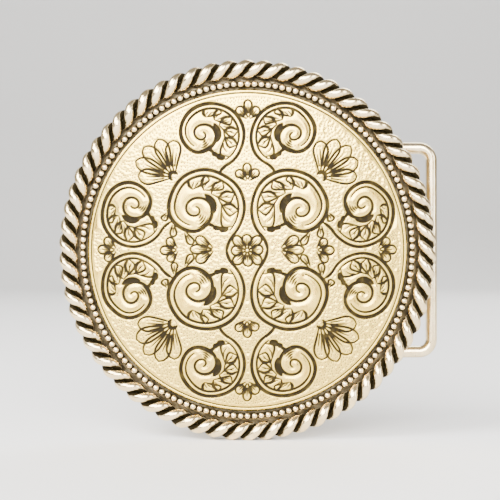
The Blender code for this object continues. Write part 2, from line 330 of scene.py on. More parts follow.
class Shader:
    """A small helper for building one Principled material from nodes."""

    def __init__(self, name):
        self.material = bpy.data.materials.new(name)
        self.material.use_nodes = True
        self.tree = self.material.node_tree
        self.principled = self.tree.nodes["Principled BSDF"]

    def add(self, kind, inputs=None, **settings):
        node = self.tree.nodes.new(kind)
        for key, value in settings.items():
            setattr(node, key, value)
        for key, value in (inputs or {}).items():
            self.set(node.inputs[key], value)
        return node

    def set(self, socket, value):
        if isinstance(value, bpy.types.NodeSocket):
            self.tree.links.new(value, socket)
        else:
            socket.default_value = value

    def surface(self, **inputs):
        for key, value in inputs.items():
            self.set(self.principled.inputs[key.replace("_", " ")], value)

    def noise(self, scale, detail=4.0, roughness=0.55, stretch=(1, 1, 1)):
        """Grain with about scale cells to the metre, drawn out along an axis where stretch is under 1."""
        place = self.add("ShaderNodeTexCoord").outputs["Object"]
        mapped = self.add("ShaderNodeMapping", {"Vector": place, "Scale": stretch})
        made = self.add(
            "ShaderNodeTexNoise",
            {"Vector": mapped.outputs[0], "Scale": scale, "Detail": detail, "Roughness": roughness},
        )
        return made.outputs["Fac"]

    def remap(self, value, low, high, to_low=0.0, to_high=1.0):
        """A value of low gives to_low and one of high gives to_high; the result stays between them."""
        node = self.add(
            "ShaderNodeMapRange",
            {"Value": value, "From Min": low, "From Max": high, "To Min": to_low, "To Max": to_high},
        )
        return node.outputs["Result"]

    def math(self, operation, a, b):
        node = self.add("ShaderNodeMath", operation=operation, use_clamp=operation != "MULTIPLY")
        self.set(node.inputs[0], a)
        self.set(node.inputs[1], b)
        return node.outputs[0]

    def blend(self, amount, a, b):
        node = self.add("ShaderNodeMix", data_type="RGBA")
        self.set(node.inputs["Factor"], amount)
        self.set(node.inputs["A"], a)
        self.set(node.inputs["B"], b)
        return node.outputs["Result"]

    def attribute(self, name):
        return self.add("ShaderNodeAttribute", attribute_name=name).outputs["Fac"]

    def bump(self, height, strength, distance):
        node = self.add("ShaderNodeBump", {"Height": height, "Strength": strength, "Distance": distance})
        return node.outputs["Normal"]

    def wear(self, marks, polished, scuffed, dirt, dulling):
        """Roughness: from polished to scuffed with the marks, and up to dulling more where dirt is high; it
        holds compound and patina, and for the brass and wire also painted corner shade.
        """
        worn = self.remap(marks, 0.3, 0.7, polished, scuffed)
        return self.math("ADD", worn, self.remap(dirt, 0, 1, 0, dulling))

    def crevice(self, distance):
        """Ambient occlusion, used to paint shade: 1 in the open and towards 0 in a corner or a joint, where
        shade falls.
        """
        made = self.add("ShaderNodeAmbientOcclusion", {"Distance": distance}, samples=6)
        return made.outputs["AO"]


GOLD_BRIGHT = (1.0, 0.71, 0.15, 1)
GOLD_MID = (0.80, 0.52, 0.09, 1)
GOLD_DULL = (0.36, 0.24, 0.07, 1)
ANTIQUING = (0.012, 0.008, 0.002, 1)
RESIDUE_GLOSS = 0.08
TARNISH = (0.34, 0.27, 0.16, 1)
ROPE_BRIGHT = (1.0, 0.81, 0.48, 1)
ROPE_MID = (0.90, 0.68, 0.35, 1)
BRASS_BRIGHT = (0.84, 0.65, 0.32, 1)
BRASS_MID = (0.52, 0.39, 0.18, 1)
BRASS_DARK = (0.13, 0.095, 0.05, 1)
WIRE_BRIGHT = (0.98, 0.80, 0.50, 1)
WIRE_MID = (0.74, 0.57, 0.31, 1)
PAPER = (0.86, 0.85, 0.83, 1)
PAPER_SHADE = (0.774, 0.765, 0.747, 1)


def engraved_gold():
    """Pale antique gold: burnished beside the cuts, duller in the open, dark compound left in the cuts."""
    s = Shader("engraved_gold")
    cut, halo = s.attribute("cut"), s.attribute("halo")
    tarnish = s.remap(s.noise(420, 5, 0.6), 0.38, 0.62)
    cloud = s.remap(s.noise(90, 3), 0.42, 0.72, 0, 0.45)
    speck = s.remap(s.noise(1500, 2, 0.5), 0.62, 0.70, 0, 0.30)
    open_metal = s.blend(cloud, s.blend(tarnish, GOLD_MID, GOLD_BRIGHT), GOLD_DULL)
    burnished = s.blend(speck, s.blend(halo, open_metal, GOLD_BRIGHT), GOLD_DULL)
    residue = s.math("MULTIPLY", cut, s.remap(s.noise(600, 3), 0.25, 0.50, 0.96, 1.0))
    marks = s.noise(2600, 3, 0.6, (1, 1, 0.2))
    s.surface(
        Base_Color=s.blend(residue, burnished, ANTIQUING),
        Metallic=s.remap(residue, 0.2, 0.8, 1.0, 0.0),
        Roughness=s.wear(marks, 0.20, 0.34, residue, 0.4),
        Specular_IOR_Level=RESIDUE_GLOSS,
        Normal=s.bump(s.noise(900), 0.25, 0.06 * MM),
    )
    return s.material


def rope_gold(name):
    """Bright twisted wire with dark compound where the strands lie together."""
    s = Shader(name)
    grime = s.remap(s.noise(700, 4, 0.6), 0.3, 0.7, -0.12, 0.12)
    dark = s.remap(s.math("ADD", s.attribute("depth"), grime), 0.19, 0.34)
    metal = s.blend(s.remap(s.noise(500), 0.35, 0.7), ROPE_MID, ROPE_BRIGHT)
    marks = s.noise(2200, 3, 0.6)
    s.surface(
        Base_Color=s.blend(dark, metal, ANTIQUING),
        Metallic=s.remap(dark, 0.3, 1.0, 1.0, 0.2),
        Roughness=s.wear(marks, 0.14, 0.26, dark, 0.45),
        Specular_IOR_Level=RESIDUE_GLOSS,
        Normal=s.bump(s.noise(1100), 0.22, 0.05 * MM),
    )
    return s.material


def backing_brass(name, stretch, antiqued=False):
    """Satin brass with straight brushing, fine scratches, random brown patina, and painted shade: an
    occlusion node darkens it in corners and round the hardware.
    """
    s = Shader(name)
    brushing = s.noise(5200, 3, 0.6, stretch)
    patina = s.remap(s.noise(55, 6, 0.65), 0.46, 0.74)
    # painted shade: ambient occlusion darkens the brass towards BRASS_DARK in corners and joints, where
    # shade falls
    corner = s.remap(s.crevice(1.6 * MM), 0.35, 0.85, 1.0, 0.0)
    # the darker of the random patina and the painted corner shade
    patina_and_shade = s.math("MAXIMUM", s.math("MULTIPLY", patina, 0.42), corner)
    worn = s.blend(s.remap(brushing, 0.25, 0.8, 0.10, 0.90), BRASS_MID, BRASS_BRIGHT)
    colour = s.blend(patina_and_shade, worn, BRASS_DARK)
    if antiqued:
        blotches = s.remap(s.noise(480, 5, 0.65), 0.36, 0.62, 0.25, 0.85)
        colour = s.blend(s.attribute("antiqued"), colour, s.blend(blotches, TARNISH, ANTIQUING))
    s.surface(
        Base_Color=colour,
        Metallic=1.0,
        Roughness=s.wear(brushing, 0.24, 0.38, patina_and_shade, 0.2),
        Normal=s.bump(brushing, 0.30, 0.02 * MM),
    )
    return s.material


def wire_metal():
    """Polished pale gold wire, with fine wear marks, a little tarnish, and painted shade where it meets
    other parts.
    """
    s = Shader("wire_metal")
    tarnish = s.remap(s.noise(240, 5, 0.6), 0.35, 0.7)
    # painted shade: ambient occlusion darkens the wire towards BRASS_DARK where it meets the tube and the
    # pads
    corner = s.remap(s.crevice(1.2 * MM), 0.3, 0.8, 0.9, 0.0)
    marks = s.noise(1800, 4, 0.65, (1, 1, 0.15))
    s.surface(
        Base_Color=s.blend(corner, s.blend(tarnish, WIRE_BRIGHT, WIRE_MID), BRASS_DARK),
        Metallic=1.0,
        Roughness=s.wear(marks, 0.16, 0.30, corner, 0.3),
        Normal=s.bump(marks, 0.25, 0.04 * MM),
    )
    return s.material


def floor_paper():
    """Matt paper, very slightly uneven in tone."""
    s = Shader("floor")
    tone = s.remap(s.noise(6), 0.3, 0.7, 0.985, 1.0)
    s.surface(Base_Color=s.blend(tone, PAPER_SHADE, PAPER), Roughness=0.85)
    return s.material


# ---------------------------------------------------------------- engraving
# A plain western scroll layout. One quarter is worked out from circles that nearly touch, and mirrored into
# the other three: a scroll beside the middle, and two outer ones that mirror each other about the diagonal.
# Each cut is (widths, points), in millimetres from the middle of the face.


def direction(angle):
    return np.array([math.cos(angle), math.sin(angle)])


def arc(centre, radius, start, sweep):
    """Closely spaced points on an arc."""
    count = max(3, int(abs(sweep) * radius / POINT_STEP))
    angles = np.linspace(start, start + sweep, count)
    return np.asarray(centre) + radius * np.stack([np.cos(angles), np.sin(angles)], axis=-1)


def smooth_curve(points):
    """Closely spaced points on a Catmull-Rom curve."""
    knots = np.array(points, float)
    ends = np.vstack([2 * knots[0] - knots[1], knots, 2 * knots[-1] - knots[-2]])
    found = []
    for p0, p1, p2, p3 in zip(ends, ends[1:], ends[2:], ends[3:]):
        count = max(2, int(np.linalg.norm(p2 - p1) / POINT_STEP))
        t = np.linspace(0, 1, count, endpoint=False)[:, None]
        square, cube = t**2, t**3
        bowed = (2 * p0 - 5 * p1 + 4 * p2 - p3) * square + (3 * p1 - p0 - 3 * p2 + p3) * cube
        found.append(0.5 * (2 * p1 + (p2 - p0) * t + bowed))
    return np.vstack([*found, knots[-1:]])


def between(one, other, share, where):
    """A place between two lines, at the same share of the way along both."""
    first, second = one[int(where * (len(one) - 1))], other[int(where * (len(other) - 1))]
    return first * (1 - share) + second * share


class Scroll:
    """A volute of tangent arcs, with its stem, the leaves along its inside and its dark accents."""

    def __init__(self, centre, radius, start, hand, stem_sweep):
        self.radius, self.start, self.hand, self.stem_sweep = radius, start, hand, stem_sweep
        self.centres, self.radii, self.angles = [], [], []
        centre, angle = np.array(centre, float), start
        for index, (share, degrees) in enumerate(VOLUTE_ARCS):
            self.centres.append(centre)
            self.radii.append(share * radius)
            self.angles.append(angle)
            angle += hand * math.radians(degrees)
            following = VOLUTE_ARCS[min(index + 1, len(VOLUTE_ARCS) - 1)][0] * radius
            centre = centre + (share * radius - following) * direction(angle)

    def line(self, inset, arcs):
        """The volute's own line, or one parallel to it, over its first arcs."""
        pieces = []
        for index in range(arcs):
            sweep = self.hand * math.radians(VOLUTE_ARCS[index][1])
            pieces.append(arc(self.centres[index], self.radii[index] - inset, self.angles[index], sweep))
        return np.vstack(pieces)

    def stem(self):
        """An arc of the opposite curve that leads into the volute."""
        out = direction(self.start)
        bend = 0.75 * self.radius
        middle = self.centres[0] + (self.radius + bend) * out
        return arc(middle, bend, self.start + math.pi, self.hand * self.stem_sweep)[::-1]

    def cuts(self):
        found = [
            (MAIN_LINE, self.line(0, len(VOLUTE_ARCS))),
            (RIBBON_LINE, self.line(RIBBON * self.radius, 2)),
            (STEM_LINE, self.stem()),
        ]
        return found + self.leaves() + self.volute_shading() + self.accents()

    def leaves(self):
        """Joined lobes along the ribbon: each grows inwards and curls forwards over the next one's root."""
        spine = self.line(RIBBON * self.radius, 1)
        places = (np.linspace(*LEAF_SPAN, LEAVES + 1) * (len(spine) - 3) + 1).astype(int)
        found = []
        for first, following in zip(places[:-1], places[1:]):
            root, ahead = spine[first], spine[following]
            along = spine[following + 1] - spine[following - 1]
            along = along / np.linalg.norm(along)
            inward = (self.centres[0] - ahead) / np.linalg.norm(self.centres[0] - ahead)
            space = np.linalg.norm(ahead - self.centres[2]) - self.radii[2]
            size = min(0.86 * space, 0.56 * self.radius)
            if size < SMALLEST_LEAF * self.radius:
                continue
            tip = ahead + size * (LEAF_TIP[0] * inward + LEAF_TIP[1] * along)
            back = root + size * (LEAF_BACK[0] * inward + LEAF_BACK[1] * along)
            front = ahead + size * (LEAF_FRONT[0] * inward + LEAF_FRONT[1] * along)
            trailing, leading = smooth_curve((root, back, tip)), smooth_curve((ahead, front, tip))
            found += [(TRAILING_EDGE, trailing), (LEADING_EDGE, leading)]
            for share in (0.25, 0.5, 0.75):
                vein = [between(trailing, leading, share, where) for where in (0.22, 0.5, 0.74)]
                found.append((LEAF_VEIN, smooth_curve(vein)))
        return found

    def volute_shading(self):
        """Parallel lines inside the volute, each shorter and further in than the one before."""
        eye, radius = self.centres[2], self.radii[2]
        found = []
        for step in range(4):
            inset = radius * (0.14 + 0.13 * step)
            start = self.angles[2] + self.hand * (0.5 + 0.16 * step)
            sweep = self.hand * (1.0 - 0.14 * step)
            found.append((VOLUTE_LINE, arc(eye, radius - inset, start, sweep)))
        return found

    def accents(self):
        """The dark crescent beside the volute, and three drops that lead in to it."""
        start = self.angles[0] + self.hand * math.radians(42)
        away = self.radii[2] + 0.06 * self.radius
        found = [(CRESCENT, arc(self.centres[2], away, start, self.hand))]
        for step, widths in enumerate(DROPS):
            angle = self.start - self.hand * (0.16 + 0.2 * step)
            foot = self.centres[0] + self.radius * (0.70 - 0.13 * step) * direction(angle)
            head = foot + 0.11 * self.radius * direction(angle + self.hand * 0.9)
            found.append((widths, smooth_curve((foot, (foot + head) / 2, head))))
        return found

    def spray(self):
        """Petals of growing length outside the volute, which fill its open side."""
        found = []
        for share, length in ((0.30, 0.20), (0.62, 0.30), (0.94, 0.36)):
            angle = self.angles[1] + self.hand * math.radians(VOLUTE_ARCS[1][1]) * share
            root = self.centres[1] + (self.radii[1] + 0.5) * direction(angle)
            lean = angle + self.hand * 0.85
            found += petal_cuts(root, lean, length * self.radius, 0.17 * self.radius, (0.0,))
        return found

    def covers(self, x, y):
        """Whether a place lies on the scroll or close to it."""
        away = np.array([x, y]) - self.centres[0]
        turned = (self.hand * (math.atan2(away[1], away[0]) - self.start)) % (2 * math.pi)
        swept = math.radians(VOLUTE_ARCS[0][1])
        inside = np.hypot(*away) < self.radius + SCROLL_CLEARANCE and turned < swept
        volutes = zip(self.centres[1:3], self.radii[1:3])
        near = any(math.hypot(x - c[0], y - c[1]) < r + SCROLL_CLEARANCE for c, r in volutes)
        return inside or near


def petal_cuts(root, angle, length, breadth, veins=(-0.24, 0.0, 0.24)):
    """A rounded petal, widest towards its end, with straight shading lines."""
    along, side = direction(angle), direction(angle + math.pi / 2)
    found = []
    for sign in (-1, 1):
        edge = [root + reach * length * along + sign * half * breadth * side for reach, half in PETAL_SHAPE]
        found.append((PETAL_EDGE, smooth_curve(edge)))
    for share in veins:
        first = root + 0.26 * length * along + share * 0.5 * breadth * side
        last = root + (0.74 - abs(share) * 0.5) * length * along + share * breadth * side
        found.append((PETAL_LINE, smooth_curve((first, (first + last) / 2, last))))
    return found


def fan(root, middle, spread, count, length, breadth):
    """Petals spread evenly to both sides of a middle direction, shorter towards the outside."""
    found = []
    for number in range(count):
        offset = spread * (2 * number / (count - 1) - 1)
        reach = length * math.cos(0.75 * offset)
        start = np.array(root) + 0.3 * direction(middle + offset)
        found += petal_cuts(start, middle + offset, reach, breadth)
    return found


def flipped(cuts):
    """The same cuts, mirrored about the diagonal."""
    return [(widths, line[:, ::-1]) for widths, line in cuts]


def quarter_scrolls():
    """The scroll beside the middle and the upper outer one, clear of each other and of the middle lines."""
    inner = INNER_SCROLL + LINE_GAP
    reach = INNER_SCROLL + OUTER_SCROLL + SCROLL_GAP
    rise = math.sqrt(reach**2 - (INNER_SCROLL - OUTER_SCROLL) ** 2)
    place = (OUTER_SCROLL + LINE_GAP, inner + rise)
    middle = Scroll((inner, inner), INNER_SCROLL, INNER_START, CLOCKWISE, INNER_STEM)
    upper = Scroll(place, OUTER_SCROLL, OUTER_START, CLOCKWISE, OUTER_STEM)
    return middle, upper


def quarter_cuts(middle, upper):
    """Every cut of one quarter: its scrolls, the shell in its corner, the buds and the middle's petals."""
    found = middle.cuts() + middle.spray() + upper.cuts() + flipped(upper.cuts())
    shell = (np.linalg.norm(middle.centres[0]) + INNER_SCROLL + 1.6) * direction(DIAGONAL)
    found += fan(shell, DIAGONAL, spread=math.radians(45), count=5, length=8.4, breadth=3.0)
    found.append((SHELL_ROOT, arc(shell, 0.9, DIAGONAL - 1.9, 3.8)))
    waist = (middle.centres[0][1] + upper.centres[0][1]) / 2
    for height in (waist - 1.8, PATTERN_EDGE - 4.4):
        bud = fan((0.0, height), math.pi / 2, spread=math.radians(46), count=3, length=3.5, breadth=1.7)
        found += bud + flipped(bud)
    side = (INNER_SCROLL - 1.0, 0.0)
    found += fan(side, 0.0, spread=math.radians(34), count=3, length=4.6, breadth=1.9)
    return found + fan((0.0, 0.0), DIAGONAL, spread=DIAGONAL, count=3, length=3.6, breadth=1.9)


def stamp(field, x, y, half_width):
    """Lowers the field of distances from the edge of a cut round one point of it."""
    reach = int(CUT_REACH / PATTERN_CELL)
    column, row = int(round(x / PATTERN_CELL)), int(round(y / PATTERN_CELL))
    left, right = max(column - reach, 0), min(column + reach + 1, field.shape[1])
    low, high = max(row - reach, 0), min(row + reach + 1, field.shape[0])
    if left >= right or low >= high:
        return
    across = np.arange(left, right) * PATTERN_CELL - x
    upward = np.arange(low, high) * PATTERN_CELL - y
    window = field[low:high, left:right]
    np.minimum(window, np.hypot(across[None, :], upward[:, None]) - half_width, out=window)


def carve(field, widths, line):
    """Stamps one cut, whose width runs from its start through its middle to its end."""
    start, middle, end = widths
    shares = np.linspace(0, 1, len(line))
    plain = start + (end - start) * shares
    swelling = plain + (middle - plain) * np.sin(np.pi * shares) ** 0.8
    for (x, y), width in zip(line, swelling):
        if math.hypot(x, y) < PATTERN_EDGE:
            stamp(field, x, y, CUT_WEIGHT * width / 2)


def stipple(field, scrolls):
    """Fine punched dots over the background, clear of the scrolls and of every cut."""
    places = np.random.default_rng(STIPPLE_SEED).uniform(0, PATTERN_EDGE, (STIPPLE_TRIES, 2))
    middle, upper = scrolls
    for x, y in places:
        open_metal = field[int(y / PATTERN_CELL), int(x / PATTERN_CELL)] > STIPPLE_GAP
        covered = middle.covers(x, y) or upper.covers(x, y) or upper.covers(y, x)
        if open_metal and not covered and math.hypot(x, y) < PATTERN_EDGE:
            stamp(field, x, y, STIPPLE_RADIUS)


def pattern_field():
    """Distance from the edge of the nearest cut, over one quarter; negative inside a cut."""
    cells = int(FIELD_SIZE / PATTERN_CELL)
    field = np.full((cells, cells), FAR)
    scrolls = quarter_scrolls()
    for cut in quarter_cuts(*scrolls):
        carve(field, *cut)
    stipple(field, scrolls)
    return field


def sample(field, x, y):
    """Bilinear reading of the field at these places, in millimetres."""
    u = np.clip(x / PATTERN_CELL, 0, field.shape[1] - 1.001)
    v = np.clip(y / PATTERN_CELL, 0, field.shape[0] - 1.001)
    column, row = u.astype(int), v.astype(int)
    fu, fv = u - column, v - row
    low = field[row, column] * (1 - fu) + field[row, column + 1] * fu
    high = field[row + 1, column] * (1 - fu) + field[row + 1, column + 1] * fu
    return low * (1 - fv) + high * fv


def edge_distance(x, z, border):
    """Distance from the nearest cut at each (x, z) of the face, in millimetres."""
    # A hand never repeats a cut exactly, so the quarters differ by up to a third of a millimetre.
    wobble_x = 0.10 * np.sin(0.37 * z + 0.9) + 0.07 * np.sin(0.81 * x + 0.4 * z)
    wobble_z = 0.10 * np.sin(0.33 * x + 2.1) + 0.07 * np.sin(0.77 * z - 0.5 * x)
    distance = sample(pattern_field(), np.abs(x + wobble_x), np.abs(z + wobble_z))
    return np.minimum(distance, np.abs(np.hypot(x, z) - border) - BORDER_HALF_WIDTH)


def disc_grid(cells):
    """Places on a unit disc from a square grid, so that all its cells are of much the same size."""
    steps = np.linspace(-1, 1, cells + 1)
    u, v = np.meshgrid(steps, steps)
    flat = np.abs(u) > np.abs(v)
    with np.errstate(divide="ignore", invalid="ignore"):
        angle = np.where(flat, math.pi / 4 * v / u, math.pi / 2 - math.pi / 4 * u / v)
    angle = np.nan_to_num(angle)
    radius = np.where(flat, u, v)
    return radius * np.cos(angle), radius * np.sin(angle)


def face_front(x, z, distance):
    """Points of the front: a shallow dome, sunk in the cuts, full between them and rounded at the rim."""
    span = np.hypot(x, z) / FACE_HIGH.x
    rim_front = FACE_LOW.y + FACE_DOME + RELIEF * MM
    depth = GROOVE_SLOPE * np.clip(-distance, 0, GROOVE_HALF_WIDTH) * MM
    pillow = RELIEF * MM * (1 - np.exp(-((np.clip(distance, 0, FAR) / RELIEF_WIDTH) ** 2)))
    edge_round = 0.35 * MM * np.clip((span - 0.988) / 0.012, 0, 1) ** 2
    y = rim_front - FACE_DOME * (1 - span**2) + depth - pillow + edge_round
    return np.stack([x, y, z], axis=-1).reshape(-1, 3)


def closed_sheet(top):
    """Points and faces of the whole sheet: its front, and rings that close its hollow rear."""
    side = FACE_CELLS + 1
    index = np.arange(side * side).reshape(side, side)
    corners = [index[:-1, :-1], index[:-1, 1:], index[1:, 1:], index[1:, :-1]]
    quads = np.stack(corners, axis=-1).reshape(-1, 4)
    rim = np.concatenate([index[0, :-1], index[:-1, -1], index[-1, :0:-1], index[:0:-1, 0]])
    rear = BASE_FRONT - SOLDER_LINE
    points, faces = [top], [quads]
    previous, count = rim, len(rim)
    for number, share in enumerate((1.0, 0.66, 0.33)):
        ring = top[rim] * (share, 1, share)
        ring[:, 1] = rear - FACE_DOME * (1 - share**2)
        points.append(ring)
        current = len(top) + number * count + np.arange(count)
        faces.append(np.stack([current, np.roll(current, -1), np.roll(previous, -1), previous], axis=-1))
        previous = current
    points.append([[0, rear - FACE_DOME, 0]])
    middle = np.full(count, previous[-1] + 1)
    faces.append(np.stack([middle, np.roll(previous, -1), previous], axis=-1))
    return np.vstack(points), faces


def make_face(material):
    radius = FACE_HIGH.x
    x, z = disc_grid(FACE_CELLS)
    x, z = x * radius, z * radius
    distance = edge_distance(x / MM, z / MM, radius / MM - BORDER_INSET)
    top = face_front(x, z, distance)
    points, faces = closed_sheet(top)
    points = bend(points)
    face = mesh_object("engraved_face", points, outward(points, faces), smooth_angle=math.radians(60))
    blank = np.zeros(len(points) - len(top))
    cut = np.clip((CUT_BLUR / 2 - distance) / CUT_BLUR, 0, 1).reshape(-1)
    halo = (np.exp(-(np.clip(distance, 0, FAR) / HALO_WIDTH) ** 2) * (distance > 0)).reshape(-1)
    add_attribute(face, "cut", np.concatenate([cut, blank]))
    add_attribute(face, "halo", np.concatenate([halo, blank]))
    return dress(face, "root", "engraved_gold", material, "face_plate")


# ---------------------------------------------------------------- edge wires


def unit_ball():
    """Rows of points round a ball, without its poles."""
    rows, columns = 7, 12
    polar = np.linspace(0, math.pi, rows + 2)[1:-1]
    around = np.linspace(0, 2 * math.pi, columns, endpoint=False)
    across = np.sin(polar)[:, None] * np.cos(around)
    along = np.sin(polar)[:, None] * np.sin(around)
    return np.stack([across, along, np.broadcast_to(np.cos(polar)[:, None], across.shape)], axis=-1)


def make_bead(ball, angle):
    """Points, faces and depths of one bead; its depth is least where it stands highest."""
    out = np.array([math.sin(angle), 0, math.cos(angle)])
    along = np.array([math.cos(angle), 0, -math.sin(angle)])
    centre = BEAD_RING_RADIUS * out + np.array([0, BEAD_MIDDLE_Y, 0])
    shape = ball @ np.array([BEAD_SHAPE[0] * along, BEAD_SHAPE[1] * out, (0.0, 1.0, 0.0)])
    points, faces = skin(centre + BEAD_RADIUS * shape, False, cap_ends=True)
    return points, faces, 0.66 + 0.62 * (points[:, 1] - BEAD_MIDDLE_Y) / BEAD_RADIUS


def make_bead_bed():
    """Points, faces and depths of the low wire that the beads stand on."""
    steps, sides = 240, 10
    middle = Vector((0, BASE_FRONT - SOLDER_LINE - BED_RADIUS, 0))
    rows = []
    for step in range(steps):
        out = round_the_ring(2 * math.pi * step / steps)
        rows.append(circle(middle + BEAD_RING_RADIUS * out, out, REARWARD, BED_RADIUS, sides))
    points, faces = skin(rows, True)
    return points, faces, np.ones(len(points))


def make_bead_ring(material):
    """Milgrain: a row of beads on a low wire, one closed mesh for each bead and one for the wire."""
    ball = unit_ball()
    parts = [make_bead(ball, 2 * math.pi * number / BEAD_COUNT) for number in range(BEAD_COUNT)]
    points, faces, depths = joined([*parts, make_bead_bed()])
    ring = mesh_object("bead_ring", bend(points), faces, smooth_angle=None)
    add_attribute(ring, "depth", depths)
    return dress(ring, "root", "engraved_gold", material, "bead_wire")


def strand_angles(turn, phase):
    """How far a strand has gone round the buckle, and round the rope, after so many turns of the rope."""
    return 2 * math.pi * turn / ROPE_TURNS, 2 * math.pi * turn + phase


def strand_middle(turn, phase):
    around, wind = strand_angles(turn, phase)
    point = (ROPE_MIDDLE_RADIUS + STRAND_OFFSET * math.cos(wind)) * round_the_ring(around)
    point.y = ROPE_LOW.y + STRAND_RADIUS + STRAND_OFFSET + STRAND_OFFSET * math.sin(wind)
    return point


def make_strand(name, phase, material, node):
    """One of the rope's two wires; its depth is 1 where it faces the rope's middle and 0 opposite."""
    per_turn, sides, nudge = 28, 18, 0.01
    rows, facing = [], []
    for index in range(ROPE_TURNS * per_turn):
        turn = index / per_turn
        centre = strand_middle(turn, phase)
        tangent = (strand_middle(turn + nudge, phase) - strand_middle(turn - nudge, phase)).normalized()
        across = REARWARD.cross(tangent).normalized()
        ring = circle(centre, across, tangent.cross(across), STRAND_RADIUS, sides)
        around, wind = strand_angles(turn, phase)
        inward = -math.cos(wind) * round_the_ring(around) - math.sin(wind) * REARWARD
        rows.append(ring)
        facing.append([(Vector(point) - centre).normalized().dot(inward) for point in ring])
    points, faces = skin(rows, True)
    strand = mesh_object(name, bend(points), faces, smooth_angle=None)
    add_attribute(strand, "depth", np.clip(0.5 + 0.5 * np.array(facing).reshape(-1), 0, 1))
    return dress(strand, "root", "rope_gold", material, node)


# ---------------------------------------------------------------- rear side


def make_base(material):
    """The backing disc with its stepped rim, antiqued in front, where it shows between the edge wires."""
    edge, seat = BASE_HIGH.x, BASE_FRONT + RIM_STEP - FILLED
    step, eye = RIM_STEP_RADIUS, 0.4 * MM
    outline = ((eye, BASE_FRONT), (step, BASE_FRONT), (step, seat), (edge, seat), (edge, 0), (eye, 0))
    soft = rounded(outline, (0, 0.1 * MM, 0.1 * MM, 0.35 * MM, 0.45 * MM, 0))
    inner = [(edge * share, 0) for share in (0.8, 0.6, 0.4, 0.2)]
    points, faces = skin(turned_about_y([*soft[:-1], *inner, soft[-1]], 192), False, cap_ends=True)
    base = mesh_object("backing_disc", bend(points), faces, smooth_angle=math.radians(35))
    front = np.clip((-0.5 * MM - points[:, 1]) / (0.4 * MM), 0, 1)
    add_attribute(base, "antiqued", front * (np.hypot(points[:, 0], points[:, 2]) < edge - 0.2 * MM))
    return dress(base, "root", "backing_brass", material, "base_plate")


def round_rectangle(width, height, corner):
    """Points round a rectangle in the XZ plane, with arcs for corners."""
    steps = 8
    points = []
    for quarter, (sign_x, sign_z) in enumerate(((1, 1), (-1, 1), (-1, -1), (1, -1))):
        for step in range(steps + 1):
            angle = (quarter + step / steps) * math.pi / 2
            x = sign_x * (width / 2 - corner) + corner * math.cos(angle)
            z = sign_z * (height / 2 - corner) + corner * math.sin(angle)
            points.append((x, 0, z))
    return np.array(points)


def make_pad(name, node, corner, material):
    """A pad on the plate's rear: solder creeps out round its foot, and its upper edge is rounded."""
    low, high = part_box(node)
    centre_x = (low.x + high.x) / 2
    width, height = high.x - low.x, high.z - low.z
    fillet, soft, sunk = 0.45 * MM, 0.3 * MM, 0.1 * MM
    profile = [(fillet * (1 - math.sin(a)), fillet * (1 - math.cos(a))) for a in quarter_turn(6)]
    profile += [(soft * (math.cos(a) - 1), PAD_TOP - soft + soft * math.sin(a)) for a in quarter_turn(5)]
    profile += [(-0.6 * corner, PAD_TOP)]
    rows = []
    for grow, rise in profile:
        ring = round_rectangle(width + 2 * grow, height + 2 * grow, max(corner + grow, 0.05 * MM))
        ring[:, 0] += centre_x
        ring[:, 1] = rise
        rows.append(ring)
    rows.insert(0, rows[0] - (0, sunk, 0))
    points, faces = skin(rows, False, cap_ends=True)
    pad = mesh_object(name, bend(points), faces, smooth_angle=math.radians(35))
    return dress(pad, "root", "backing_brass", material, node)


def make_rivet(node, material):
    """A hand-set rivet: the head is a low dome with a slightly hammered surface."""
    low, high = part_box(node)
    centre = (low + high) / 2
    radius = (high.z - low.z) / 2
    foot, brim, rise, hammering = PAD_TOP - SEATING, PAD_TOP + FILLED, 0.76 * MM, 0.045 * MM
    outline = [(RIVET_SHANK, -1.6 * MM), (RIVET_SHANK, foot), (radius, foot), (radius, brim)]
    outline += [(radius * math.cos(a), brim + rise * math.sin(a)) for a in np.linspace(0.15, 1.45, 7)]
    points, faces = skin(turned_about_y(outline, 28), False, cap_ends=True)
    for point in points:
        if point[1] > brim:
            point[1] += hammering * noise.noise(Vector((point[0] * 1900, centre.z * 900, point[2] * 1900)))
    tilt = np.array(Matrix.Rotation(math.atan2(centre.x, WAIST_RADIUS), 3, "Z"))
    points = points @ tilt.T + (centre.x, setback(centre.x), centre.z)
    rivet = mesh_object(node + "_head", points, faces, smooth_angle=math.radians(50))
    return dress(rivet, "root", "backing_brass", material, node)


def make_tube(material):
    """The hinge tube, rolled from sheet, with softened ends and a seam along its rear."""
    inside, outside = TUBE_BORE, TUBE_RADIUS
    outline = ((inside, -TUBE_HALF), (outside, -TUBE_HALF), (outside, TUBE_HALF), (inside, TUBE_HALF))
    soft = rounded(outline, (0.12 * MM, 0.25 * MM, 0.25 * MM, 0.12 * MM), 4)
    segments, seam_middle, seam_width, seam_depth = 96, math.radians(62), 0.05, 0.22 * MM
    rows = []
    for reach, height in soft:
        ring = []
        for side in range(segments):
            angle = 2 * math.pi * side / segments
            in_bore = reach <= inside + 0.05 * MM
            seam = 0 if in_bore else math.exp(-(((angle - seam_middle) / seam_width) ** 2))
            r = reach - seam_depth * seam
            ring.append((HINGE.x + r * math.cos(angle), HINGE.y + r * math.sin(angle), height))
        rows.append(ring)
    points, faces = skin(rows, True)
    tube = mesh_object("rolled_hinge_tube", points, faces, smooth_angle=math.radians(35))
    return dress(tube, "root", "backing_brass", material, "hinge_tube")


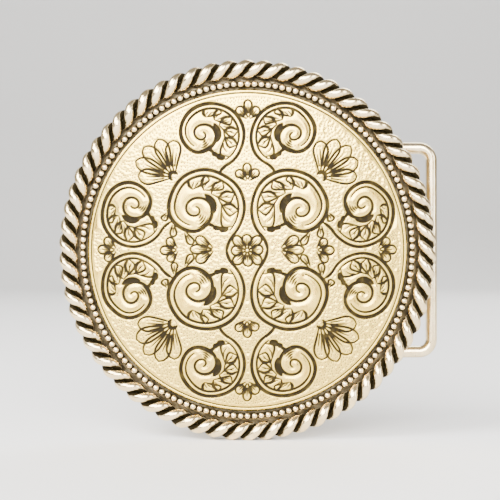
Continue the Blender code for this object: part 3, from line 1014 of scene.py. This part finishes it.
def solder_section(side, z, swell):
    """The run of solder cut across at one height: from under the tube out to its foot, and up to its top."""
    pad_top = setback(HINGE.x) + PAD_TOP - SEATING
    reach, lift, touch = 1.9 * MM * swell, 1.25 * MM * swell, TUBE_RADIUS * 0.98
    corner = Vector((HINGE.x + side * 0.4 * MM, pad_top - 0.1 * MM, z))
    foot = Vector((HINGE.x + side * (reach + 0.5 * MM), pad_top - SEATING, z))
    angle = math.acos(max(-1.0, min(1.0, (HINGE.y - pad_top - lift) / TUBE_RADIUS)))
    top = Vector((HINGE.x + side * touch * math.sin(angle), HINGE.y - touch * math.cos(angle), z))
    hollow = (foot + top) / 2 + Vector((-side * 0.22, -0.22, 0)) * MM * swell
    return [corner, foot, (foot * 0.5 + hollow * 0.5), hollow, (top * 0.5 + hollow * 0.5), top]


def make_tube_solder(name, side, material):
    """The run of solder in the corner between the tube and its pad, on one side, thin at both ends."""
    half, count = TUBE_HALF - 0.4 * MM, 90
    rows = []
    for step in range(count + 1):
        z = -half + 2 * half * step / count
        swell = 1 + 0.12 * noise.noise(Vector((side, 0, z * 260)))
        swell *= min(1.0, 0.25 + 14 * min(step, count - step) / count)
        rows.append(solder_section(side, z, swell))
    points, faces = skin(rows, False, cap_ends=True)
    piece = mesh_object(name, points, faces, smooth_angle=math.radians(60))
    return dress(piece, "root", "backing_brass", material)


def corner_arc(middle, radius, start):
    """Places round a quarter turn in the XZ plane, each with its direction outwards."""
    steps = 12
    found = []
    for step in range(steps + 1):
        angle = start + step / steps * math.pi / 2
        out = Vector((math.cos(angle), 0, math.sin(angle)))
        found.append((middle + radius * out, out))
    return found


def make_bail(material):
    """The loop of round wire; its ends are brazed together inside the hinge tube."""
    radius = (BAIL_HIGH.y - BAIL_LOW.y) / 2
    length = BAIL_HIGH.x - radius - HINGE.x
    half = BAIL_HIGH.z - radius
    inner, outer = BAIL_HINGE_CORNER, BAIL_STRAP_CORNER
    path = corner_arc(Vector((length - outer, 0, half - outer)), outer, 0)
    path += corner_arc(Vector((inner, 0, half - inner)), inner, math.pi / 2)
    path += corner_arc(Vector((inner, 0, inner - half)), inner, math.pi)
    path += corner_arc(Vector((length - outer, 0, outer - half)), outer, -math.pi / 2)
    rows = [circle(HINGE + point, out, REARWARD, radius, 28) for point, out in path]
    points, faces = skin(rows, True)
    bail = mesh_object("wire_bail", points, faces, smooth_angle=None)
    return dress(bail, "bail_body", "wire_metal", material, "bail")


def peg_stations():
    """(place, lean, radius) along the peg, through its tenon, flared foot, bent neck and round knob."""
    neck, knob, tenon, flare = 1.6 * MM, 1.95 * MM, 1.2 * MM, 0.75 * MM
    bend_radius, bend_start, bend_steps = 6.0 * MM, 3.4 * MM, 14
    found = [(Vector((0, y, 0)), 0.0, tenon) for y in (-1.6 * MM, 1.1 * MM)]
    for a in quarter_turn(7):
        place = Vector((0, PAD_TOP - SEATING + flare * (1 - math.cos(a)), 0))
        found.append((place, 0.0, neck + flare * (1 - math.sin(a))))
    for step in range(bend_steps + 1):
        a = PEG_LEAN * step / bend_steps
        place = Vector((bend_radius * (1 - math.cos(a)), bend_start + bend_radius * math.sin(a), 0))
        found.append((place, a, neck))
    last = found[-1][0]
    start = -math.acos(neck / knob)
    for a in np.linspace(start, 0.8 * math.pi / 2, 14)[1:]:
        along = knob * (math.sin(a) - math.sin(start))
        place = last + along * Vector((math.sin(PEG_LEAN), math.cos(PEG_LEAN), 0))
        found.append((place, PEG_LEAN, knob * math.cos(a)))
    return found


def make_peg(material):
    """The hook peg: its foot stands square to the curved plate, and its neck leans towards the bail."""
    low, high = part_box("hook_pad")
    centre_x = (low.x + high.x) / 2
    turn = Matrix.Rotation(math.atan2(centre_x, WAIST_RADIUS), 3, "Z")
    origin = Vector((centre_x, setback(centre_x), 0))
    rows = []
    for place, lean, radius in peg_stations():
        forward = turn @ Vector((math.sin(lean), math.cos(lean), 0))
        rows.append(circle(origin + turn @ place, forward.cross(UP), UP, radius, 32))
    points, faces = skin(rows, False, cap_ends=True)
    peg = mesh_object("knobbed_peg", points, faces, smooth_angle=math.radians(50))
    return dress(peg, "root", "wire_metal", material, "hook_peg")


# ---------------------------------------------------------------- stage


def make_floor():
    """A pale sheet that lies flat and sweeps up far behind the buckle, with no edge between."""
    level, half_width = CAD_BOX[0][2], 2.5
    near, far, sweep, height = -1.5, 0.9, 0.7, 2.2
    profile = [(near, level), (0.0, level)]
    profile += [(far + sweep * math.sin(a), level + sweep * (1 - math.cos(a))) for a in quarter_turn(24)]
    profile.append((far + sweep, level + height))
    points = [(x, y, z) for y, z in profile for x in (-half_width, half_width)]
    strips = [(2 * n, 2 * n + 1, 2 * n + 3, 2 * n + 2) for n in range(len(profile) - 1)]
    floor = mesh_object("floor", points, [np.array(strips)], smooth_angle=None)
    floor.data.materials.append(floor_paper())


# Softboxes, all turned to the buckle: (name, place, size, power in watts)
SOFTBOXES = (
    ("front", (-0.10, -0.95, 0.40), (0.95, 0.60), 40),
    ("key", (-0.60, -0.45, 0.60), (0.50, 0.60), 22),
    ("fill", (0.75, -0.50, 0.15), (0.35, 0.60), 6),
    ("rear", (0.35, 0.65, 0.60), (0.60, 0.50), 7),
)
ROOM_COLOUR = (1.0, 0.985, 0.96, 1)
ROOM_STRENGTH = 0.40


def add_softbox(name, place, size, power):
    light = bpy.data.lights.new(name, "AREA")
    light.shape = "RECTANGLE"
    light.size, light.size_y = size
    light.energy = power
    lamp = bpy.data.objects.new(name, light)
    lamp.location = place
    lamp.rotation_euler = (-Vector(place)).to_track_quat("-Z", "Y").to_euler()
    bpy.context.scene.collection.objects.link(lamp)


def light_scene():
    world = bpy.context.scene.world or bpy.data.worlds.new("studio")
    bpy.context.scene.world = world
    world.use_nodes = True
    background = world.node_tree.nodes["Background"]
    background.inputs["Color"].default_value = ROOM_COLOUR
    background.inputs["Strength"].default_value = ROOM_STRENGTH
    for softbox in SOFTBOXES:
        add_softbox(*softbox)


def add_camera():
    """Straight in front of the face, level with its middle."""
    camera = bpy.data.cameras.new("front_view")
    camera.lens = 85
    camera.clip_start = 10 * MM
    holder = bpy.data.objects.new("front_view", camera)
    holder.location = (0.0005, -0.245, 0.0)
    holder.rotation_euler = (math.pi / 2, 0, 0)
    bpy.context.scene.collection.objects.link(holder)
    bpy.context.scene.camera = holder


def main():
    add_camera()
    gold = engraved_gold()
    rope = rope_gold("rope_gold")
    brushed_disc = backing_brass("backing_brass", (1, 1, 0.03), antiqued=True)
    plain_brass = backing_brass("hardware_brass", (1, 1, 0.25))
    wire = wire_metal()

    make_face(gold)
    make_bead_ring(rope_gold("bead_gold"))
    make_strand("rope_wire_a", 0, rope, "rope_strand_a")
    make_strand("rope_wire_b", math.pi, rope, "rope_strand_b")
    make_base(brushed_disc)
    make_pad("hinge_leaf", "hinge_pad", 1.6 * MM, plain_brass)
    make_pad("peg_pad", "hook_pad", 4.5 * MM, plain_brass)
    for node in sorted(n for n in frame["nodes"] if "rivet" in n):
        make_rivet(node, plain_brass)
    make_tube(plain_brass)
    make_tube_solder("hinge_solder_inner", -1, plain_brass)
    make_tube_solder("hinge_solder_outer", 1, plain_brass)
    make_bail(wire)
    make_peg(wire)
    make_floor()
    light_scene()


main()
